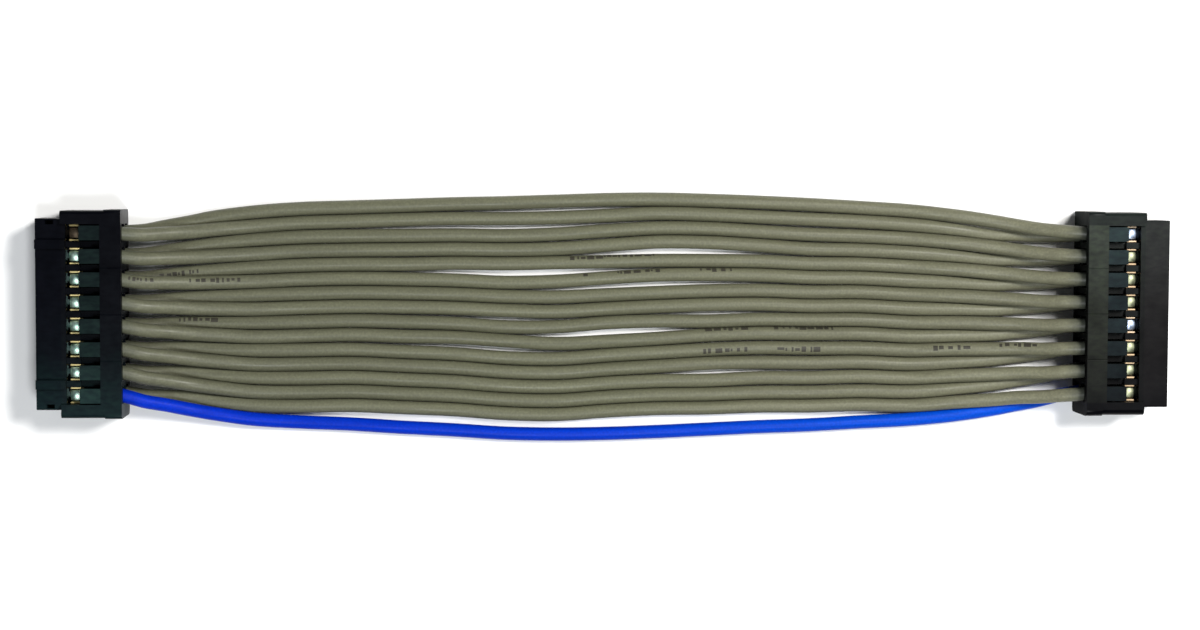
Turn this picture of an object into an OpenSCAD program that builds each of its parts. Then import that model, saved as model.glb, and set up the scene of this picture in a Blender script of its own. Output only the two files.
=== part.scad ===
// Flat wire cable assembly: sixteen insulated stranded wires side by side in one layer,
// with a double-row 2 x 8 crimp socket connector of 2.0 mm pitch on each end.
// Frame: X along the cable, Y across it, Z up. The origin is at the bottom centre,
// on the surface that both connectors and the wires lie on. Millimetres.

/* [Cable] */
// Length over all, from one mating face to the other
cable_length = 98.5; // [90:0.5:140]
// Outside diameter of one insulated wire
wire_d = 1.2; // [1.0:0.05:1.2]
// Diameter of the stranded conductor inside the insulation
conductor_d = 0.48; // [0.36:0.02:0.5]

/* [Connector] */
// Width of the connector body across the rows
body_w = 17.8; // [17.6:0.1:18.4]
// Height of the connector body
body_h = 5; // [4.9:0.05:5.2]
// Width of the narrower part that enters the mating header
mating_w = 16.45; // [16.1:0.05:16.8]
// Height of the part that enters the mating header
mating_h = 4.2; // [4.1:0.05:4.4]
// Width of one locking lance
lance_w = 1.25; // [1.1:0.05:1.4]
// Side of the square hole that a header pin enters
pin_hole = 0.7; // [0.6:0.05:0.8]
// Thickness of the contact's sheet metal
sheet_t = 0.12; // [0.1:0.01:0.14]

/* [Hidden] */
pitch = 2;                 // between neighbouring contacts and between the two rows
positions = 8;             // contacts in one row
wires = 2 * positions;
housing_len = 7.3;         // wire side face to mating face
flange_len = 5.15;         // wire side face to the front of the end blocks
rim_len = 1.8;             // wire side face to the windows
window_end = 4.75;         // wire side face to the front of the windows
lance_end = 3.56;          // wire side face to the tip of the lances
rib_y = 6.02;              // middle of each polarising rib, on face A
rib_w = 0.78;              // and its width
cavity = 1.5;              // square bore for one contact
cavity_end = 6.9;          // wire side face to the bottom of the bore
wall = body_h / 2 - pitch / 2 - cavity / 2;   // cover over the cavities
half = cable_length / 2 - housing_len;        // X of the wire side face
low_z = body_h / 2 - pitch / 2;               // height of the lower row
up_z = body_h / 2 + pitch / 2;                // height of the upper row
flat_x = half - 14.95;     // the wires lie in one flat layer up to here
touch = wire_d + 0.04;     // spacing of two wires that lie against each other
lie = wire_d / 2 + 0.005;  // height of a wire's centre as it lies on the surface
body_color = [0.09, 0.09, 0.11];
grey = [0.48, 0.48, 0.41];
blue = [0.08, 0.28, 0.80];
tin = [0.78, 0.78, 0.72];
copper = [0.80, 0.50, 0.30];

function name(stem, k) = str(stem, k < 10 ? "0" : "", k);

// ---------------------------------------------------------------- wire routes
// A wire leaves its cavity in one of the two rows, comes down between its
// neighbours and lies on the surface in one flat layer. Wire 1 is at +Y, wire 16
// at -Y. On the left the odd wires are in the lower row, on the right the even
// ones are. Each line: distance outside the wire side face; then, for the lower
// row, Y of its first wire, spacing, height; then the same for the upper row.
left_fan = [
    [-1.65, 7.00, 2.00, 1.50, 7.00, 2.00, 3.50],
    [-0.75, 7.00, 2.00, 1.50, 7.00, 2.00, 3.50],
    [ 0.00, 7.02, 2.00, 1.45, 6.90, 2.00, 3.43],
    [ 1.65, 7.14, 2.06, 1.15, 6.80, 2.06, 3.05],
    [ 3.45, 7.50, 2.12, 0.80, 6.90, 2.13, 2.35],
    [ 5.45, 7.87, 2.19, 0.65, 7.02, 2.215, 1.65],
    [ 7.45, 8.28, 2.30, 0.62, 7.22, 2.30, 1.30],
    [10.95, 8.74, 2.42, 0.62, 7.52, 2.42, 0.90]];
right_fan = [
    [-1.65, 7.00, 2.00, 1.50, 7.00, 2.00, 3.50],
    [-0.75, 7.00, 2.00, 1.50, 7.00, 2.00, 3.50],
    [ 0.00, 6.88, 2.00, 1.45, 7.08, 2.03, 3.43],
    [ 1.65, 6.80, 2.04, 1.15, 7.20, 2.07, 3.05],
    [ 3.45, 6.75, 2.105, 0.80, 7.36, 2.12, 2.35],
    [ 5.45, 6.82, 2.17, 0.65, 7.67, 2.18, 1.75],
    [ 7.45, 6.82, 2.225, 0.62, 8.02, 2.26, 1.42],
    [10.95, 7.33, 2.37, 0.62, 8.53, 2.37, 1.10]];
// The flat layer at thirteen even steps from left to right: Y of wire 1, then the
// free gap between each wire and the next.
layer = [
    [9.05, [0, 0, 0, 0, 0, 0, 0, 0, 0, 0, 0, 0, 0, 0, 0.15]],
    [9.20, [0, 0.05, 0, 0, 0, 0, 0, 0, 0, 0.05, 0, 0, 0, 0, 0.4]],
    [9.35, [0, 0.15, 0, 0.05, 0.05, 0, 0, 0.05, 0.05, 0.1, 0, 0, 0, 0, 0.5]],
    [9.50, [0.05, 0.2, 0, 0, 0.25, 0, 0, 0.1, 0, 0.2, 0, 0, 0, 0, 0.55]],
    [9.60, [0.15, 0.25, 0, 0, 0.4, 0, 0, 0.2, 0, 0.25, 0, 0, 0, 0, 0.5]],
    [9.75, [0.2, 0.2, 0.05, 0, 0.4, 0.15, 0.05, 0.1, 0.25, 0.1, 0, 0, 0, 0, 0.5]],
    [9.90, [0.15, 0.1, 0.05, 0.2, 0.2, 0.25, 0, 0, 0.4, 0, 0, 0, 0, 0, 0.75]],
    [9.95, [0, 0.05, 0, 0.4, 0.05, 0.3, 0, 0.05, 0.3, 0, 0, 0.05, 0, 0, 0.8]],
    [9.85, [0, 0, 0, 0.35, 0, 0.2, 0, 0.2, 0, 0.05, 0, 0.25, 0, 0, 0.65]],
    [9.70, [0.05, 0.05, 0, 0.15, 0, 0.1, 0, 0.1, 0, 0.05, 0.05, 0.15, 0.05, 0, 0.6]],
    [9.50, [0.05, 0.1, 0.05, 0.05, 0, 0.05, 0, 0, 0, 0.05, 0.05, 0.1, 0.05, 0, 0.45]],
    [9.25, [0, 0.05, 0, 0, 0, 0, 0, 0, 0, 0.05, 0, 0.05, 0.05, 0, 0.3]],
    [8.97, [0, 0, 0, 0, 0, 0, 0, 0, 0, 0, 0, 0, 0, 0, 0]]];
steps = len(layer) - 1;
mid_rings = 15;            // ring intervals along the flat layer

function odd(k) = k % 2 == 1;
function nth(k) = floor((k - 1) / 2);
function row_y(k) = pitch * (positions - 1) / 2 - pitch * nth(k);
function sum_to(v, n) = n <= 0 ? 0 : v[n - 1] + sum_to(v, n - 1);
function layer_y(s, k) = s[0] - touch * (k - 1) - sum_to(s[1], k - 1);
function mid_y(u, k) =     // u runs from 0 to 1 along the flat layer
    let (q = u * steps, i = min(floor(q), steps - 1), f = q - i)
    layer_y(layer[i], k) * (1 - f) + layer_y(layer[i + 1], k) * f;
function fan_point(f, low, k, side) =
    [side * (half - f[0]),
     low ? f[1] - f[2] * nth(k) : f[4] - f[5] * nth(k),
     max(lie, low ? f[3] + low_z - 1.5 : f[6] + up_z - 3.5)];
function route(k) = concat(
    [for (f = left_fan) fan_point(f, odd(k), k, -1)],
    [for (i = [0 : mid_rings])
        [flat_x * (2 * i / mid_rings - 1), mid_y(i / mid_rings, k), lie + 0.015]],
    [for (i = [len(right_fan) - 1 : -1 : 0]) fan_point(right_fan[i], !odd(k), k, 1)]);

// ------------------------------------------------------------- swept tubes
function unit(v) = v / norm(v);
function ahead(p, i) = unit(p[min(i + 1, len(p) - 1)] - p[max(i - 1, 0)]);
function dir(p, i) = i == 0 || i == len(p) - 1 ? [1, 0, 0] : ahead(p, i);
function ring(c, t, r, n, a0) =
    let (s = unit(cross([0, 0, 1], t)), u = cross(t, s))
    [for (j = [0 : n - 1]) let (a = a0 + 360 * j / n) c + r * (cos(a) * s + sin(a) * u)];
function tube_points(p, r, n, a0) =
    [for (i = [0 : len(p) - 1]) each ring(p[i], dir(p, i), r, n, a0)];
function skin_out(m, n, o) =
    [for (i = [0 : m - 2]) for (j = [0 : n - 1])
        let (a = o + i * n + j, b = o + i * n + (j + 1) % n)
        each [[a, a + n, b + n], [a, b + n, b]]];
function skin_in(m, n, o) = [for (f = skin_out(m, n, o)) [f[0], f[2], f[1]]];

// Annular end between an outer ring of 8 corners and an inner ring of 6:
// corners 0 to 7 are the outer ones, 10 to 15 the inner ones.
end_faces = [
    [0, 1, 10], [1, 11, 10], [1, 2, 11], [2, 12, 11], [2, 3, 12], [3, 4, 12], [4, 13, 12],
    [4, 5, 13], [5, 14, 13], [5, 6, 14], [6, 15, 14], [6, 7, 15], [7, 0, 15], [0, 10, 15]];
function corner(c, o_out, o_in) = c < 10 ? o_out + c : o_in + c - 10;
function end_cap(o_out, o_in, flip) =
    [for (f = end_faces) let (a = corner(f[0], o_out, o_in), b = corner(f[1], o_out, o_in),
        c = corner(f[2], o_out, o_in)) flip ? [a, c, b] : [a, b, c]];

module insulation(p) {     // hollow tube, 8 sides outside and 6 inside
    m = len(p);
    inner = m * 8;
    polyhedron(
        points = concat(tube_points(p, wire_d / 2, 8, 22.5),
                        tube_points(p, conductor_d / 2 + 0.015, 6, 30)),
        faces = concat(skin_out(m, 8, 0), skin_in(m, 6, inner),
                       end_cap(0, inner, false),
                       end_cap((m - 1) * 8, inner + (m - 1) * 6, true)),
        convexity = 4);
}

module strand(p) {         // solid tube of 6 sides, squared off at both ends
    m = len(p);
    polyhedron(
        points = tube_points(p, conductor_d / 2, 6, 30),
        faces = concat(skin_out(m, 6, 0), [[0, 1, 2, 3, 4, 5]],
                       [[for (j = [5 : -1 : 0]) (m - 1) * 6 + j]]),
        convexity = 4);
}

module wire(k) {
    color(k == wires ? blue : grey) insulation(route(k));
}

// The bare ends reach 1.0 mm past the insulation, into the conductor barrels.
module conductor(k) {
    p = route(k);
    bare = [1, 0, 0];
    strand(concat([p[0] - bare], p, [p[len(p) - 1] + bare]));
}
module conductors_odd() color(copper) for (k = [1 : 2 : wires - 1]) conductor(k);
module conductors_even() color(copper) for (k = [2 : 2 : wires]) conductor(k);

// ---------------------------------------------------------------- connector
// Connector frame: the wire side face is at x = 0 and the mating face at
// x = -housing_len, face A is on top. s is the distance from the wire side face.
module blk(s0, s1, y0, y1, z0, z1)
    translate([-s1, y0, z0]) cube([s1 - s0, y1 - y0, z1 - z0]);
module rod(s0, s1, y, z, r, f = 40)
    translate([-s1, y, z]) rotate([0, 90, 0]) cylinder(r = r, h = s1 - s0, $fn = f);

// bar along X with rounded long edges, and one fuller radius at -Y below
module bar(s0, s1, w, z0, z1, r, big) {
    blk(s0, s1, -w / 2 + big, w / 2 - r, z0, z1);
    blk(s0, s1, w / 2 - r - 0.01, w / 2, z0 + r, z1 - r);
    blk(s0, s1, -w / 2, -w / 2 + big + 0.01, z0 + big, z1 - r);
    blk(s0, s1, -w / 2 + r, -w / 2 + big + 0.01, z1 - r - 0.01, z1);
    rod(s0, s1, w / 2 - r, z0 + r, r);
    rod(s0, s1, w / 2 - r, z1 - r, r);
    rod(s0, s1, -w / 2 + r, z1 - r, r);
    rod(s0, s1, -w / 2 + big, z0 + big, big);
}

function place(j) = pitch * (positions - 1) / 2 - pitch * j;
win = pitch * (positions - 1) / 2 + cavity / 2;    // half width of the windows

module cavity_cut(y, z) {
    blk(-0.1, cavity_end, y - cavity / 2, y + cavity / 2, z - cavity / 2, z + cavity / 2);
    blk(cavity_end - 0.1, housing_len + 0.1, y - pin_hole / 2, y + pin_hole / 2,
        z - pin_hole / 2, z + pin_hole / 2);
    translate([-housing_len - 0.01, y, z]) rotate([0, 90, 0])
        cylinder(r1 = 0.62, r2 = 0.36, h = 0.26, $fn = 32);
}

// Locking lance: a tongue from the rim over the crimp, with a nose that drops
// behind the contact's arched tongue.
module lance(y) {
    blk(rim_len - 0.1, lance_end, y - lance_w / 2, y + lance_w / 2, body_h - 0.6, body_h - 0.04);
    blk(2.95, 3.4, y - 0.42, y + 0.42, up_z + 0.3, body_h - 0.5);
    blk(2.6, 3.0, y - 0.42, y + 0.42, up_z + 0.7, body_h - 0.5);
}

module face_side() {       // what face A and face B share, cut from face A
    for (j = [0 : positions - 2])                              // lowered walls by the lances
        blk(rim_len, lance_end, place(j) - pitch + cavity / 2 - 0.01, place(j) - cavity / 2 + 0.01,
            body_h - wall - 0.4, body_h);
    for (y = [-4, 0, 4])                                       // fine grooves across the rim
        translate([-rim_len - 0.1, y, body_h]) rotate([90, 0, 90]) linear_extrude(rim_len + 0.2)
            polygon([[-0.1, 0.01], [0, -0.03], [0.1, 0.01]]);
    blk(rim_len, window_end, -win, win, body_h - wall, body_h + 0.1);
    blk(window_end - 0.05, flange_len + 0.1, -win, win, body_h / 2 + mating_h / 2, body_h + 0.1);
}

module flip() translate([0, 0, body_h]) rotate([180, 0, 0]) children();

module housing() {
    color(body_color) {
        difference() {
            union() {
                bar(0, flange_len, body_w, 0, body_h, 0.3, 0.5);
                bar(0, 1.45, body_w + 0.16, 0, body_h, 0.3, 0.5);
                bar(flange_len - 0.5, housing_len, mating_w, body_h / 2 - mating_h / 2,
                    body_h / 2 + mating_h / 2, 0.15, 0.15);
                // polarising ribs, on face A only
                for (y = [-rib_y, rib_y])
                    blk(window_end, housing_len, y - rib_w / 2, y + rib_w / 2, body_h / 2, body_h);
            }
            // windows
            face_side();
            flip() face_side();
            for (j = [0 : positions - 1]) for (z = [low_z, up_z]) cavity_cut(place(j), z);
            // small pockets just inside the side edges of face A
            for (y = [-mating_w / 2 + 0.14, mating_w / 2 - 0.5])
                blk(5.75, 6.45, y, y + 0.36, body_h / 2 + 0.9, body_h / 2 + mating_h / 2 + 0.1);
        }
        // the ribs run on over the window's front edge
        for (y = [-rib_y, rib_y])
            blk(window_end, flange_len + 0.2, y - rib_w / 2, y + rib_w / 2, body_h - wall, body_h);
        for (j = [0 : positions - 1]) {
            lance(place(j));
            flip() lance(place(j));
        }
    }
}

// Crimp contact in the connector frame, on its own axis, open side up. From the
// wire side: insulation barrel, conductor barrel, open channel with an arched tongue
// between two rolled lips under the window, closed box with two springs for the pin.
module contact() {
    t = sheet_t;
    b = -0.72;             // underside
    w = 0.66;              // half width of channel and box
    box = 4.85;            // where the closed box starts, behind the window's front edge
    bore = wire_d / 2 + 0.005;
    difference() {         // insulation barrel
        rod(0.8, 1.5, 0, 0, 0.72);
        rod(0.7, 1.6, 0, 0, bore);
        blk(0.7, 1.6, -0.06, 0.06, 0.3, 0.8);
    }
    blk(1.3, 6.85, -0.22, 0.22, b, b + 0.1);                   // floor strip
    difference() {         // conductor barrel, folded over in two lobes
        union() {
            rod(1.85, 2.6, 0, -0.02, 0.42);
            rod(1.85, 2.6, 0.17, 0.18, 0.25);
            rod(1.85, 2.6, -0.17, 0.18, 0.25);
            blk(1.75, 2.75, -0.26, 0.26, b, -0.3);
        }
        rod(1.7, 2.8, 0, 0, conductor_d / 2 + 0.005);
    }
    blk(3.45, 4.48, -w, w, b, b + t);                          // floor under the tongue
    blk(box, 6.85, -w, w, b, b + t);                           // floor of the box
    for (y = [-w, w - t]) {
        blk(3.45, 4.48, y, y + t, b, -0.1);                    // side walls
        blk(3.8, 4.36, y, y + t, -0.2, 0.4);                   // posts of the rolled lips
        blk(box, 6.85, y, y + t, b, 0.64);                     // sides of the box
    }
    for (y = [-0.64, 0.64]) {                                  // rolled lips in the window
        rod(3.72, 4.42, y, 0.42, 0.1);
        for (s = [3.72, 4.42]) translate([-s, y, 0.42]) sphere(r = 0.1, $fn = 40);
    }
    blk(box, 6.85, -w, w, 0.64 - t, 0.64);                     // top of the box
    intersection() {       // arched tongue, crowned both ways, seen through the window
        difference() {
            translate([-4.05, 0, -0.5]) sphere(r = 1, $fn = 64);
            translate([-4.05, 0, -0.5]) sphere(r = 1 - t, $fn = 64);
        }
        blk(3.5, 4.48, -0.43, 0.43, 0, 0.6);
    }
    blk(4.38, 4.48, -0.38, 0.38, b, 0.3);                       // its front, down to the floor
    for (z = [0.3, -0.4]) {                                    // springs for the pin
        blk(4.9, 6.7, -0.3, 0.3, z, z + 0.1);
        translate([-5.9, -0.3, z + 0.05]) rotate([-90, 0, 0]) cylinder(r = 0.09, h = 0.6, $fn = 24);
    }
    blk(6.55, 6.7, -0.3, 0.3, b, -0.3);
    blk(6.55, 6.7, -0.3, 0.3, 0.3, 0.6);
}

// Face A faces up on the left and down on the right.
module at_left() translate([-half, 0, 0]) children();
module at_right() translate([half, 0, body_h]) rotate([0, 180, 0]) children();
module in_row(k, a_row) {
    if (a_row) translate([0, row_y(k), up_z]) children();
    else translate([0, row_y(k), low_z]) rotate([180, 0, 0]) children();
}

module housing_left() at_left() housing();
module housing_right() at_right() housing();
// even wires are in the row under face A on both connectors, odd wires under face B
module contact_left(k) color(tin) at_left() in_row(k, !odd(k)) contact();
module contact_right(k) color(tin) at_right() in_row(k, !odd(k)) contact();

housing_left();
housing_right();
for (k = [1 : wires]) {
    wire(k);
    contact_left(k);
    contact_right(k);
}
conductors_odd();
conductors_even();
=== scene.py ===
import math
import random

import bpy
from mathutils import Euler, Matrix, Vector


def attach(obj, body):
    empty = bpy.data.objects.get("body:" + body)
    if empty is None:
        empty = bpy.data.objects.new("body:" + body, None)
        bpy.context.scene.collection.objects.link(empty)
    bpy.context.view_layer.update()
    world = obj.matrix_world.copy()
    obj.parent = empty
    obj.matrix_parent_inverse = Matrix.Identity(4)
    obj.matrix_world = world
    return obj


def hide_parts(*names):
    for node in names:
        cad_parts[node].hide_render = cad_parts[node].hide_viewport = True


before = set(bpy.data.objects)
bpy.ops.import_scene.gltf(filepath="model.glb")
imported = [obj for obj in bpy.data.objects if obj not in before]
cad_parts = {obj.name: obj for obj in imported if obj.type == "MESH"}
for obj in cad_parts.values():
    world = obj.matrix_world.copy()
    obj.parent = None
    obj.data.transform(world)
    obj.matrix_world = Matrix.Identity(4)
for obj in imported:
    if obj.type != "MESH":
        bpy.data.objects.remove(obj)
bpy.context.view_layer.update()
scene = bpy.context.scene
MM = 0.001

# ------------------------------------------------------------------ camera
cam_data = bpy.data.cameras.new("camera")
cam_data.sensor_width = 36.0
cam_data.lens = 71.97
cam_data.clip_start, cam_data.clip_end = 0.005, 20.0
cam = bpy.data.objects.new("camera", cam_data)
scene.collection.objects.link(cam)
cam.location = (-0.01285, 0.01189, 0.21206)
cam.rotation_euler = Euler([math.radians(a) for a in (-3.3, -3.3, 0.165)], "XYZ")
scene.camera = cam
scene.view_settings.view_transform = "Standard"

# ------------------------------------------------------------------ routes
# The same stations as in part.scad, in millimetres: distance outside the wire side
# face; first Y, spacing and height of the lower row, then of the upper row.
LEFT_FAN = [
    (-1.65, 7.00, 2.00, 1.50, 7.00, 2.00, 3.50),
    (-0.75, 7.00, 2.00, 1.50, 7.00, 2.00, 3.50),
    (0.00, 7.02, 2.00, 1.45, 6.90, 2.00, 3.43),
    (1.65, 7.14, 2.06, 1.15, 6.80, 2.06, 3.05),
    (3.45, 7.50, 2.12, 0.80, 6.90, 2.13, 2.35),
    (5.45, 7.87, 2.19, 0.65, 7.02, 2.215, 1.65),
    (7.45, 8.28, 2.30, 0.62, 7.22, 2.30, 1.30),
    (10.95, 8.74, 2.42, 0.62, 7.52, 2.42, 0.90)]
RIGHT_FAN = [
    (-1.65, 7.00, 2.00, 1.50, 7.00, 2.00, 3.50),
    (-0.75, 7.00, 2.00, 1.50, 7.00, 2.00, 3.50),
    (0.00, 6.88, 2.00, 1.45, 7.08, 2.03, 3.43),
    (1.65, 6.80, 2.04, 1.15, 7.20, 2.07, 3.05),
    (3.45, 6.75, 2.105, 0.80, 7.36, 2.12, 2.35),
    (5.45, 6.82, 2.17, 0.65, 7.67, 2.18, 1.75),
    (7.45, 6.82, 2.225, 0.62, 8.02, 2.26, 1.42),
    (10.95, 7.33, 2.37, 0.62, 8.53, 2.37, 1.10)]
LAYER = [
    (9.05, (0, 0, 0, 0, 0, 0, 0, 0, 0, 0, 0, 0, 0, 0, 0.15)),
    (9.20, (0, 0.05, 0, 0, 0, 0, 0, 0, 0, 0.05, 0, 0, 0, 0, 0.4)),
    (9.35, (0, 0.15, 0, 0.05, 0.05, 0, 0, 0.05, 0.05, 0.1, 0, 0, 0, 0, 0.5)),
    (9.50, (0.05, 0.2, 0, 0, 0.25, 0, 0, 0.1, 0, 0.2, 0, 0, 0, 0, 0.55)),
    (9.60, (0.15, 0.25, 0, 0, 0.4, 0, 0, 0.2, 0, 0.25, 0, 0, 0, 0, 0.5)),
    (9.75, (0.2, 0.2, 0.05, 0, 0.4, 0.15, 0.05, 0.1, 0.25, 0.1, 0, 0, 0, 0, 0.5)),
    (9.90, (0.15, 0.1, 0.05, 0.2, 0.2, 0.25, 0, 0, 0.4, 0, 0, 0, 0, 0, 0.75)),
    (9.95, (0, 0.05, 0, 0.4, 0.05, 0.3, 0, 0.05, 0.3, 0, 0, 0.05, 0, 0, 0.8)),
    (9.85, (0, 0, 0, 0.35, 0, 0.2, 0, 0.2, 0, 0.05, 0, 0.25, 0, 0, 0.65)),
    (9.70, (0.05, 0.05, 0, 0.15, 0, 0.1, 0, 0.1, 0, 0.05, 0.05, 0.15, 0.05, 0, 0.6)),
    (9.50, (0.05, 0.1, 0.05, 0.05, 0, 0.05, 0, 0, 0, 0.05, 0.05, 0.1, 0.05, 0, 0.45)),
    (9.25, (0, 0.05, 0, 0, 0, 0, 0, 0, 0, 0.05, 0, 0.05, 0.05, 0, 0.3)),
    (8.97, (0, 0, 0, 0, 0, 0, 0, 0, 0, 0, 0, 0, 0, 0, 0))]
HALF = 41.95
FLAT_X = 27.0
TOUCH = 1.24
LIE = 0.605
WIRE_D = 1.2
STRAND_D = 0.48


def stations(k):
    n, odd = (k - 1) // 2, k % 2 == 1

    def fan(f, low, side):
        y = f[1] - f[2] * n if low else f[4] - f[5] * n
        return (side * (HALF - f[0]), y, max(LIE, f[3] if low else f[6]))

    pts = [fan(f, odd, -1) for f in LEFT_FAN]
    last = len(LAYER) - 1
    for i, (y1, gaps) in enumerate(LAYER):
        y = y1 - TOUCH * (k - 1) - sum(gaps[:k - 1])
        pts.append((FLAT_X * (2 * i / last - 1), y, LIE + 0.015))
    return pts + [fan(f, not odd, 1) for f in reversed(RIGHT_FAN)]


def smooth(pts, step):
    """A smooth curve y(x), z(x) through the stations, sampled about every step."""
    out = []
    slope = []
    for i in range(len(pts)):
        if i in (0, len(pts) - 1):
            slope.append((0.0, 0.0))
        else:
            a, b = pts[i - 1], pts[i + 1]
            slope.append(((b[1] - a[1]) / (b[0] - a[0]), (b[2] - a[2]) / (b[0] - a[0])))
    for i in range(len(pts) - 1):
        a, b = pts[i], pts[i + 1]
        d = b[0] - a[0]
        n = max(2, round(d / step))
        for j in range(n):
            t = j / n
            h = (2 * t**3 - 3 * t**2 + 1, t**3 - 2 * t**2 + t, -2 * t**3 + 3 * t**2, t**3 - t**2)
            y = h[0] * a[1] + h[1] * d * slope[i][0] + h[2] * b[1] + h[3] * d * slope[i + 1][0]
            z = h[0] * a[2] + h[1] * d * slope[i][1] + h[2] * b[2] + h[3] * d * slope[i + 1][1]
            out.append(Vector((a[0] + d * t, y, max(z, LIE))))
    return out + [Vector(pts[-1])]


def add_mesh(name, verts, faces, mat=None):
    me = bpy.data.meshes.new(name)
    me.from_pydata([tuple(v) for v in verts], [], faces)
    me.validate()
    me.polygons.foreach_set("use_smooth", [True] * len(me.polygons))
    me.update()
    o = bpy.data.objects.new(name, me)
    scene.collection.objects.link(o)
    if mat:
        me.materials.append(mat)
    return o


def ring(c, t, r, n):
    s = Vector((0, 0, 1)).cross(t).normalized()
    u = t.cross(s)
    return [c + r * (math.cos(2 * math.pi * j / n) * s + math.sin(2 * math.pi * j / n) * u)
            for j in range(n)]


def tangent(p, i):
    if i in (0, len(p) - 1):
        return Vector((1, 0, 0))
    return (p[i + 1] - p[i - 1]).normalized()


def hollow_wire(name, p, n=24):
    """Insulation with cut ends: outer skin, rounded rim, flat annulus and a short bore."""
    r, bore = WIRE_D / 2, STRAND_D / 2 + 0.015
    rings = [ring(c, tangent(p, i), r, n) for i, c in enumerate(p)]
    # the outermost ring at each end is drawn in a little, as a cut edge is
    rings[0] = ring(p[0], Vector((1, 0, 0)), r - 0.03, n)
    rings[-1] = ring(p[-1], Vector((1, 0, 0)), r - 0.03, n)
    rings.insert(1, ring(p[0] + Vector((0.03, 0, 0)), Vector((1, 0, 0)), r, n))
    rings.insert(-1, ring(p[-1] - Vector((0.03, 0, 0)), Vector((1, 0, 0)), r, n))
    x = Vector((1, 0, 0))
    left = [ring(p[0], x, bore, n), ring(p[0] + 0.85 * x, x, bore, n)]
    right = [ring(p[-1], x, bore, n), ring(p[-1] - 0.85 * x, x, bore, n)]
    rings = [left[1], left[0]] + rings + [right[0], right[1]]
    verts = [v * MM for rg in rings for v in rg]
    faces = []
    for i in range(len(rings) - 1):
        for j in range(n):
            a, b = i * n + j, i * n + (j + 1) % n
            faces.append((a, a + n, b + n, b))
    faces.append(tuple(range(n)))
    m = (len(rings) - 1) * n
    faces.append(tuple(m + j for j in range(n - 1, -1, -1)))
    return add_mesh(name, verts, faces)


def strand_ends(name, p):
    """Seven twisted strands at both bare ends of one wire."""
    verts, faces = [], []
    rs, orbit, n, steps = 0.08, 0.158, 8, 14
    for end in (0, -1):
        c = p[end]
        inner = c.x + (0.8 if end == 0 else -0.8)
        outer = c.x + (-1.0 if end == 0 else 1.0)
        for q in range(7):
            base = len(verts)
            for i in range(steps + 1):
                f = i / steps
                x = inner + (outer - inner) * f
                a = 2 * math.pi * (q / 6 + 0.32 * f)
                o = 0 if q == 6 else orbit
                cy, cz = c.y + o * math.cos(a), c.z + o * math.sin(a)
                for j in range(n):
                    b = 2 * math.pi * j / n
                    verts.append(Vector((x, cy + rs * math.cos(b), cz + rs * math.sin(b))) * MM)
            for i in range(steps):
                for j in range(n):
                    u, v = base + i * n + j, base + i * n + (j + 1) % n
                    faces.append((u, v, v + n, u + n) if outer > inner else (u, u + n, v + n, v))
            first = tuple(base + j for j in range(n))
            last = tuple(base + steps * n + j for j in range(n))
            if outer > inner:
                faces += [first[::-1], last]
            else:
                faces += [first, last[::-1]]
    return add_mesh(name, verts, faces)


def ink_ticks(name, p, spans, seed):
    """Short printed ticks along the crown of a wire, in place of a rating mark."""
    rnd = random.Random(seed)
    verts, faces = [], []
    cols, r = 7, WIRE_D / 2 + 0.003

    def at(x):
        i = min(max(range(len(p)), key=lambda q: -abs(p[q].x - x)), len(p) - 2)
        if p[i].x > x and i:
            i -= 1
        f = (x - p[i].x) / (p[i + 1].x - p[i].x)
        return p[i].lerp(p[i + 1], f), (p[i + 1] - p[i]).normalized()

    for x0, x1, tilt in spans:
        x = x0
        while x < x1:
            wide = rnd.choice((0.16, 0.26, 0.4, 0.62))
            half = rnd.uniform(0.11, 0.25) / r
            mid = math.pi / 2 + tilt + rnd.uniform(-0.06, 0.06)
            base = len(verts)
            for q in (x, x + wide):
                c, tan = at(q)
                s = Vector((0, 0, 1)).cross(tan).normalized()
                u = tan.cross(s)
                for j in range(cols):
                    a = mid - half + 2 * half * j / (cols - 1)
                    verts.append((c + r * (math.cos(a) * s + math.sin(a) * u)) * MM)
            for j in range(cols - 1):
                faces.append((base + j, base + cols + j, base + cols + j + 1, base + j + 1))
            x += wide + rnd.choice((0.1, 0.16, 0.24, 0.4))
    return add_mesh(name, verts, faces)


# --------------------------------------------------------------- materials
def srgb(r, g, b):
    def f(c):
        c /= 255
        return c / 12.92 if c <= 0.04045 else ((c + 0.055) / 1.055) ** 2.4
    return (f(r), f(g), f(b), 1.0)


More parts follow.
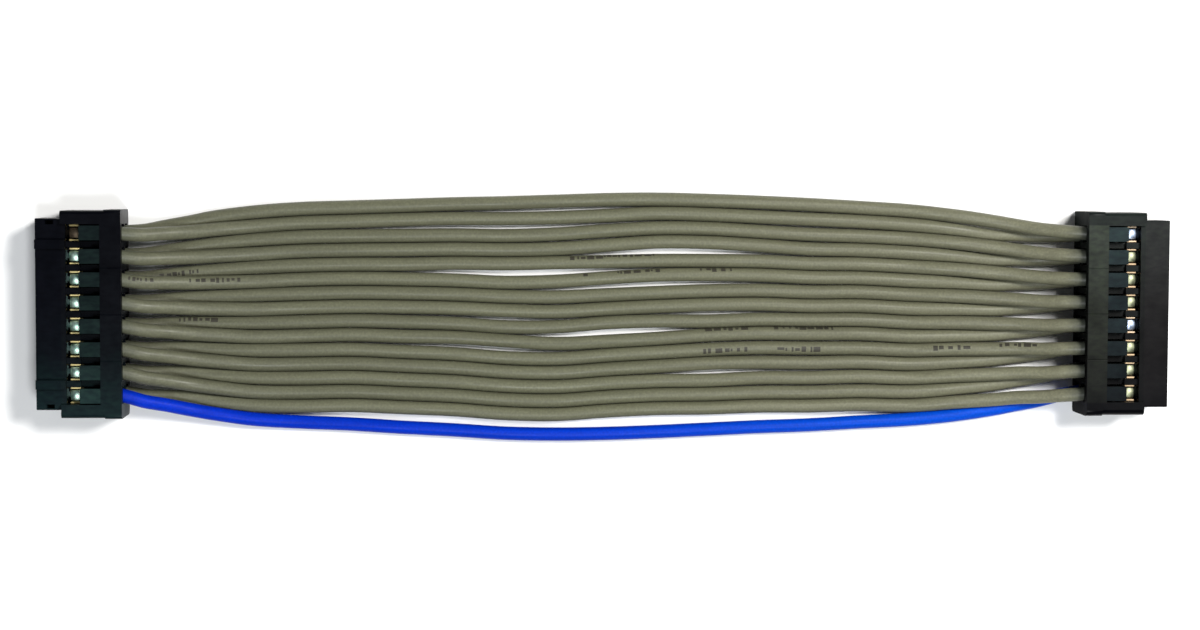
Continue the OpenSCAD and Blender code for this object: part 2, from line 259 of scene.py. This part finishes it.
class Nodes:
    def __init__(self, name):
        self.mat = bpy.data.materials.new(name)
        self.mat.use_nodes = True
        self.t = self.mat.node_tree
        self.t.nodes.clear()
        out = self.t.nodes.new("ShaderNodeOutputMaterial")
        self.bsdf = self.t.nodes.new("ShaderNodeBsdfPrincipled")
        self.t.links.new(self.bsdf.outputs[0], out.inputs[0])
        self.coord = self.t.nodes.new("ShaderNodeTexCoord").outputs["Object"]

    def link(self, a, b):
        self.t.links.new(a, b)

    def noise(self, scale, stretch=(1, 1, 1), move=(0, 0, 0), detail=3.0, rough=0.5):
        m = self.t.nodes.new("ShaderNodeMapping")
        m.inputs["Scale"].default_value = stretch
        m.inputs["Location"].default_value = move
        n = self.t.nodes.new("ShaderNodeTexNoise")
        n.inputs["Scale"].default_value = scale
        n.inputs["Detail"].default_value = detail
        n.inputs["Roughness"].default_value = rough
        self.link(self.coord, m.inputs[0])
        self.link(m.outputs[0], n.inputs["Vector"])
        return n.outputs["Fac"]

    def ramp(self, src, stops):
        r = self.t.nodes.new("ShaderNodeValToRGB")
        e = r.color_ramp.elements
        while len(e) < len(stops):
            e.new(0.5)
        for el, (pos, col) in zip(e, stops):
            el.position = pos
            el.color = col
        self.link(src, r.inputs[0])
        return r.outputs[0]

    def range(self, src, lo, hi, a=0.3, b=0.7):
        m = self.t.nodes.new("ShaderNodeMapRange")
        for key, v in (("From Min", a), ("From Max", b), ("To Min", lo), ("To Max", hi)):
            m.inputs[key].default_value = v
        self.link(src, m.inputs["Value"])
        return m.outputs["Result"]

    def math(self, op, a, b=None):
        n = self.t.nodes.new("ShaderNodeMath")
        n.operation = op
        for socket, v in zip(n.inputs, (a, b)):
            if v is None:
                continue
            if isinstance(v, (int, float)):
                socket.default_value = v
            else:
                self.link(v, socket)
        return n.outputs[0]

    def mix(self, fac, a, b, blend="MIX"):
        n = self.t.nodes.new("ShaderNodeMix")
        n.data_type = "RGBA"
        n.blend_type = blend
        if isinstance(fac, (int, float)):
            n.inputs["Factor"].default_value = fac
        else:
            self.link(fac, n.inputs["Factor"])
        self.link(a, n.inputs[6])
        self.link(b, n.inputs[7])
        return n.outputs[2]

    def bump(self, src, dist, strength=1.0, before=None):
        b = self.t.nodes.new("ShaderNodeBump")
        b.inputs["Distance"].default_value = dist
        b.inputs["Strength"].default_value = strength
        self.link(src, b.inputs["Height"])
        if before:
            self.link(before, b.inputs["Normal"])
        return b.outputs[0]


def shade(c, f):
    return tuple(min(1.0, v * f) for v in c[:3]) + (1.0,)


def pvc(name, col, seed, rough=0.42, gloss=0.2, painted_exit_shade=None,
        painted_light_ramp=((0.0, (1, 1, 1, 1)), (1.0, (1, 1, 1, 1)))):
    """Extruded insulation, with painted light in its colour: painted shade within 1.5 mm of the left and
    the right connector, where the wires go in under the housings, and a painted light gradient along the
    whole cable, which changes its colour from end to end and makes it paler toward the right end, where
    the key lamp is."""
    m = Nodes(name)
    rnd = random.Random(seed)
    move = (rnd.uniform(-5, 5), rnd.uniform(-5, 5), rnd.uniform(-5, 5))
    # faint streaks along the wire, from the extruder's die
    streak = m.noise(1.0, (60, 2600, 2600), move, 4.0, 0.6)
    colour = m.ramp(streak, [(0.3, shade(col, 0.86)), (0.5, col), (0.7, shade(col, 1.13))])
    # dust and fine mottling
    dust = m.noise(5200.0, (1, 1, 1), move, 2.0)
    colour = m.mix(1.0, colour, m.ramp(dust, [
        (0.3, (0.9, 0.89, 0.9, 1)), (0.5, (1, 1, 1, 1)), (0.7, (1.16, 1.17, 1.15, 1))]), "MULTIPLY")
    # painted light: a brightness and hue gradient along X, paler toward the right end, where the key lamp
    # is
    sep = m.t.nodes.new("ShaderNodeSeparateXYZ")
    m.link(m.coord, sep.inputs[0])
    along = m.range(sep.outputs["X"], 0, 1, -0.034, 0.04)
    colour = m.mix(1.0, colour, m.ramp(along, painted_light_ramp), "MULTIPLY")
    # painted shade: the colour darkens within 1.5 mm of the left and 1.7 mm of the right connector, where
    # the housings shade the wires
    if painted_exit_shade:
        left = m.range(sep.outputs["X"], 0, 1, -HALF * MM, -HALF * MM + 0.0015)
        right = m.range(sep.outputs["X"], 1, 0, HALF * MM - 0.0017, HALF * MM)
        for where, dark in ((left, painted_exit_shade[0]), (right, painted_exit_shade[1])):
            colour = m.mix(1.0, colour, m.ramp(where, [(0.0, dark), (1.0, (1, 1, 1, 1))]), "MULTIPLY")
    m.link(colour, m.bsdf.inputs["Base Color"])
    rub = m.noise(1.0, (220, 900, 900), move, 3.0)
    m.link(m.range(rub, rough - 0.07, rough + 0.1), m.bsdf.inputs["Roughness"])
    fine = m.noise(9000.0, (1, 1, 1), move, 2.0)
    wavy = m.noise(1.0, (420, 1500, 1500), move, 2.0)
    n = m.bump(fine, 0.000006, 0.6)
    m.link(m.bump(wavy, 0.00002, 0.5, n), m.bsdf.inputs["Normal"])
    m.bsdf.inputs["IOR"].default_value = 1.5
    m.bsdf.inputs["Specular IOR Level"].default_value = gloss
    return m.mat


def nylon(name, zones, seed, gloss, sheen_gain, sheen_tint, matt):
    """Moulded nylon. zones are (from, to, half width, colour, on the lances only) along the connector, in
    metres from the wire side face: lighter and darker copies of the one nylon colour, painted sheen and
    painted shade where the rim, the lances and the mating end catch the light differently. Two more
    arguments paint a sheen across the housing: one says how much paler the -Y and the +Y end is, and the
    other adds a coloured sheen at each end. matt is how much rougher the wire side face is."""
    m = Nodes(name)
    rnd = random.Random(seed)
    move = (rnd.uniform(-5, 5), rnd.uniform(-5, 5), 0)
    sep = m.t.nodes.new("ShaderNodeSeparateXYZ")
    m.link(m.coord, sep.inputs[0])
    out = m.math("SUBTRACT", m.math("ABSOLUTE", sep.outputs["X"]), HALF * MM)
    side = m.math("ABSOLUTE", sep.outputs["Y"])
    # distance from the middle of the nearest contact position, for pieces in rows of 2 mm
    cell = m.math("ABSOLUTE", m.math("SUBTRACT", m.math(
        "MODULO", m.math("ADD", sep.outputs["Y"], 0.008), 0.002), 0.001))
    # painted sheen: the colour is scaled from the -Y to the +Y end, paler where the lamps reflect in the
    # housing
    painted_sheen_across = m.range(sep.outputs["Y"], sheen_gain[0], sheen_gain[1], -0.0085, 0.0085)
    cloud = m.noise(450.0, (1, 1, 1), move, 4.0)
    fleck = m.noise(2600.0, (0.5, 1, 1), move, 3.0)
    colour = None
    # painted sheen and painted shade: each zone gives its part of the connector its own lighter or darker
    # copy of the nylon colour
    for first, last, inside, col, narrow in zones:
        mask = m.math("MULTIPLY", m.range(out, 0, 1, first - 0.00004, first + 0.00004),
                      m.range(out, 1, 0, last - 0.00004, last + 0.00004))
        mask = m.math("MULTIPLY", mask, m.range(side, 1, 0, inside - 0.00004, inside + 0.00004))
        if narrow:
            mask = m.math("MULTIPLY", mask, m.range(cell, 1, 0, 0.00064, 0.00068))
        tone = m.ramp(cloud, [(0.3, shade(col, 0.78)), (0.7, shade(col, 1.28))])
        colour = tone if colour is None else m.mix(mask, colour, tone)
    spots = m.ramp(fleck, [(0.35, (0.7, 0.68, 0.74, 1)), (0.5, (1, 1, 1, 1)), (0.68, (1.3, 1.36, 1.2, 1))])
    colour = m.mix(1.0, colour, painted_sheen_across, "MULTIPLY")
    # painted sheen: a coloured sheen is added toward the -Y and the +Y end
    along = m.range(m.math("ADD", sep.outputs["Y"], m.math("MULTIPLY", cloud, 0.004)),
                    0, 1, -0.0065, 0.0105)
    colour = m.mix(1.0, colour, m.ramp(along, [
        (0.0, sheen_tint[0]), (0.16, shade(sheen_tint[0], 0.5)), (0.3, shade(sheen_tint[0], 0.1)),
        (0.55, shade(sheen_tint[1], 0.1)), (1.0, sheen_tint[1])]), "ADD")
    m.link(m.mix(0.8, colour, spots, "MULTIPLY"), m.bsdf.inputs["Base Color"])
    face = m.range(out, 1, 0, 0.00001, 0.00004)
    m.link(m.math("ADD", m.range(cloud, 0.3, 0.4), m.math("MULTIPLY", face, matt)),
           m.bsdf.inputs["Roughness"])
    grain = m.noise(14000.0, (1, 1, 1), move, 2.0)
    flow = m.noise(900.0, (1, 0.35, 1), move, 2.0)
    n = m.bump(grain, 0.000005, 0.5)
    m.link(m.bump(flow, 0.00002, 0.35, n), m.bsdf.inputs["Normal"])
    m.bsdf.inputs["IOR"].default_value = 1.53
    m.bsdf.inputs["Specular IOR Level"].default_value = gloss
    return m.mat


def metal(name, dark, light, scale, rough, edge=None):
    """Bright plated metal. On the contacts edge is the bronze that shows on the rolled lips, and the
    colour is darkened towards the middle height, deep in the bore: painted shade in the recess."""
    m = Nodes(name)
    cloud = m.noise(scale, (1, 1, 1), (0, 0, 0), 4.0)
    colour = m.ramp(cloud, [(0.3, dark), (0.7, light)])
    if edge:
        sep = m.t.nodes.new("ShaderNodeSeparateXYZ")
        m.link(m.coord, sep.inputs[0])
        cell = m.math("ABSOLUTE", m.math("SUBTRACT", m.math(
            "MODULO", m.math("ADD", sep.outputs["Y"], 0.008), 0.002), 0.001))
        lip = m.ramp(m.range(cell, 0, 1, 0.00047, 0.00053), [(0, (0, 0, 0, 1)), (1, (1, 1, 1, 1))])
        warm = m.ramp(cloud, [(0.3, shade(edge, 0.85)), (0.7, edge)])
        colour = m.mix(lip, colour, warm)
        # painted shade: darker towards the middle height, deep in the housing's bore
        deep = m.math("ABSOLUTE", m.math("SUBTRACT", sep.outputs["Z"], 0.0025))
        painted_recess_shade = m.ramp(m.range(deep, 0, 1, 0.0009, 0.0014),
                      [(0, (0.10, 0.11, 0.12, 1)), (1, (1, 1, 1, 1))])
        colour = m.mix(1.0, colour, painted_recess_shade, "MULTIPLY")
    m.link(colour, m.bsdf.inputs["Base Color"])
    coarse = m.range(cloud, rough, rough + 0.14)
    if edge:
        coarse = m.math("ADD", coarse, m.range(cell, 0.0, 0.2, 0.00047, 0.00053))
    m.link(coarse, m.bsdf.inputs["Roughness"])
    lines = m.noise(1.0, (900, 9000, 9000), (0, 0, 0), 2.0)
    m.link(m.bump(lines, 0.000006, 0.5), m.bsdf.inputs["Normal"])
    m.bsdf.inputs["Metallic"].default_value = 1.0
    return m.mat


# ------------------------------------------------------------------- cords
rnd = random.Random(16)
tinned_copper = metal("tinned_copper", srgb(176, 158, 132), srgb(222, 208, 186), 5000, 0.26)
ink = pvc("ink", srgb(50, 48, 41), 99, 0.5)
TICKS = {          # for each wire: from x to x, then the angle off the crown
    3: [(-40.9, -39.7, 0.3)],
    5: [(-39.2, -35.9, 0.0), (-3.3, -0.6, -0.75), (-0.3, 4.3, -1.0)],
    6: [(-41.6, -39.6, -0.5), (-36.6, -32.1, -0.4), (-2.1, -1.6, -0.8), (0.9, 4.8, -0.85),
        (8.2, 11.2, -0.9)],
    9: [(-37.5, -34.7, -0.5)],
    10: [(8.7, 11.9, -1.0), (14.8, 20.4, -1.05)],
    11: [(8.5, 12.2, 0.2), (15.1, 19.0, 0.1), (29.1, 31.8, -0.35), (34.9, 38.0, -0.7)],
}
wires = []
for k in range(1, 17):
    pts = smooth(stations(k), 0.5)
    wire = hollow_wire("insulation_%02d" % k, pts)
    # painted light ramps along the cable: the grey and the blue get brighter toward the right end, as the
    # lamp light does
    if k == 16:
        col = srgb(0, 42, 168)
        painted_light_ramp = ((0.0, (0.9, 0.9, 0.97, 1)), (0.46, (0.85, 1.1, 0.92, 1)),
                 (0.75, (0.85, 1.95, 1.05, 1)), (1.0, (0.85, 2.2, 1.08, 1)))
    else:
        f = rnd.uniform(0.93, 1.08)
        col = shade(srgb(92, 92, 74), f)
        painted_light_ramp = ((0.0, (0.89, 0.9, 0.92, 1)), (0.46, (0.95, 0.96, 0.95, 1)),
                 (0.75, (1.01, 1.0, 1.01, 1)), (1.0, (1.13, 1.12, 1.16, 1)))
    # painted shade at both connector exits, darkest at the right one
    wire.data.materials.append(pvc("pvc_%02d" % k, col, 100 + k, gloss=0.07 if k == 16 else 0.2,
                                   painted_exit_shade=((0.75, 0.78, 0.82, 1), (0.33, 0.37, 0.45, 1)),
                                   painted_light_ramp=painted_light_ramp))
    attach(wire, "root")
    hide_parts("wire_%02d" % k)
    ends = strand_ends("strands_%02d" % k, pts)
    ends.data.materials.append(tinned_copper)
    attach(ends, "root")
    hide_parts("conductors_odd" if k % 2 else "conductors_even")
    if k in TICKS:
        marks = ink_ticks("ticks_%02d" % k, pts, TICKS[k], 40 + k)
        marks.data.materials.append(ink)
        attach(marks, "root")
    wires.append(wire)

# -------------------------------------------------------- connectors, contacts
def finish_cad(o, mat, width, segments=2):
    o.data.materials.clear()
    o.data.materials.append(mat)
    w = o.modifiers.new("weld", "WELD")
    w.merge_threshold = 1e-6
    b = o.modifiers.new("bevel", "BEVEL")
    b.width = width
    b.segments = segments
    b.limit_method = "ANGLE"
    b.angle_limit = math.radians(40)
    b.use_clamp_overlap = True
    b.harden_normals = False


WIDE = 0.02
# The two housings are the same moulding; their different colours, zones and end tints are painted sheen
# and painted shade for how the lamps fall on each.
black_left = nylon("nylon_left", [
    (-1.0, 1.0, WIDE, srgb(5, 6, 10), False),
    (0.0018, 0.0036, 0.0078, srgb(15, 25, 25), True),
    (0.00515, 1.0, WIDE, srgb(3, 4, 9), False)], 7, 0.04, (1.4, 0.7),
    (srgb(11, 25, 24), srgb(1, 1, 2)), 0.0)
black_right = nylon("nylon_right", [
    (-1.0, 1.0, WIDE, srgb(9, 10, 11), False),
    # painted shade on the right's wire side face, which faces away from the key lamp
    (-1.0, 0.00003, WIDE, srgb(3, 3, 5), False),
    (0.00003, 0.0018, 0.0078, srgb(30, 33, 28), False),
    (0.0018, 0.0036, 0.0078, srgb(14, 25, 29), True),
    (0.00515, 1.0, WIDE, srgb(17, 15, 17), False)], 8, 0.055, (0.2, 1.2),
    (srgb(1, 1, 3), srgb(14, 20, 17)), 0.35)
# The contacts are all alike: the brighter left and the darker right tin are lit and shaded copies of one
# plating, painted highlight on the left and painted shade on the right, for how the key lamp reflects in
# each connector.
tin_left = metal("tin_left", srgb(150, 190, 176), srgb(226, 252, 236), 2200, 0.35, srgb(232, 216, 160))
tin_dull = metal("tin_dull", srgb(66, 57, 48), srgb(100, 88, 72), 2200, 0.5, srgb(196, 182, 134))
tin_cold = metal("tin_cold", srgb(136, 150, 172), srgb(186, 200, 224), 2200, 0.36, srgb(214, 192, 164))
tin_right = metal("tin_right", srgb(118, 122, 100), srgb(156, 160, 132), 2200, 0.42, srgb(208, 184, 152))
for name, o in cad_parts.items():
    if name.startswith("housing"):
        finish_cad(o, black_left if name.endswith("left") else black_right, 0.00006)
    elif name.startswith("contact"):
        tin = tin_left if "left" in name else tin_right
        # three of them get a darker brown or a bluer tin than the rest
        tin = {"contact_left_02": tin_dull, "contact_right_01": tin_cold,
               "contact_right_09": tin_cold}.get(name, tin)
        finish_cad(o, tin, 0.00002, 1)

# ----------------------------------------------------------- floor and light
fm = Nodes("floor_paper")
fm.link(fm.ramp(fm.noise(40.0), [(0.3, (0.90, 0.90, 0.90, 1)), (0.7, (0.93, 0.93, 0.93, 1))]),
        fm.bsdf.inputs["Base Color"])
fm.bsdf.inputs["Roughness"].default_value = 0.8
floor = add_mesh("floor", [(-2, -2, -0.00002), (2, -2, -0.00002), (2, 2, -0.00002), (-2, 2, -0.00002)],
                 [(0, 1, 2, 3)], fm.mat)

# dim, even surroundings and one soft lamp on either side of the cable, so that the
# wires are bright along their crowns and dark where they touch
world = bpy.data.worlds.new("studio")
world.use_nodes = True
wt = world.node_tree
wc = wt.nodes.new("ShaderNodeTexCoord")
ws = wt.nodes.new("ShaderNodeSeparateXYZ")
wr = wt.nodes.new("ShaderNodeValToRGB")
wr.color_ramp.elements[0].position = 0.25
wr.color_ramp.elements[0].color = (0.22, 0.225, 0.23, 1)
wr.color_ramp.elements[1].position = 0.9
wr.color_ramp.elements[1].color = (0.10, 0.105, 0.115, 1)
wt.links.new(wc.outputs["Generated"], ws.inputs[0])
wt.links.new(ws.outputs["Z"], wr.inputs[0])
wt.links.new(wr.outputs[0], wt.nodes["Background"].inputs[0])
wt.nodes["Background"].inputs[1].default_value = 1.0
scene.world = world


def area(name, where, size, watts, colour):
    d = bpy.data.lights.new(name, "AREA")
    d.shape = "RECTANGLE"
    d.size, d.size_y = size
    d.energy = watts
    d.color = colour
    o = bpy.data.objects.new(name, d)
    scene.collection.objects.link(o)
    o.location = where
    o.rotation_euler = (-Vector(where)).to_track_quat("-Z", "Y").to_euler()
    return o


area("key", (0.13, 0.085, 0.245), (0.07, 0.07), 1.06, (1.0, 0.99, 0.96))
area("fill", (0.01, -0.085, 0.26), (0.07, 0.07), 0.48, (0.95, 0.98, 1.0))
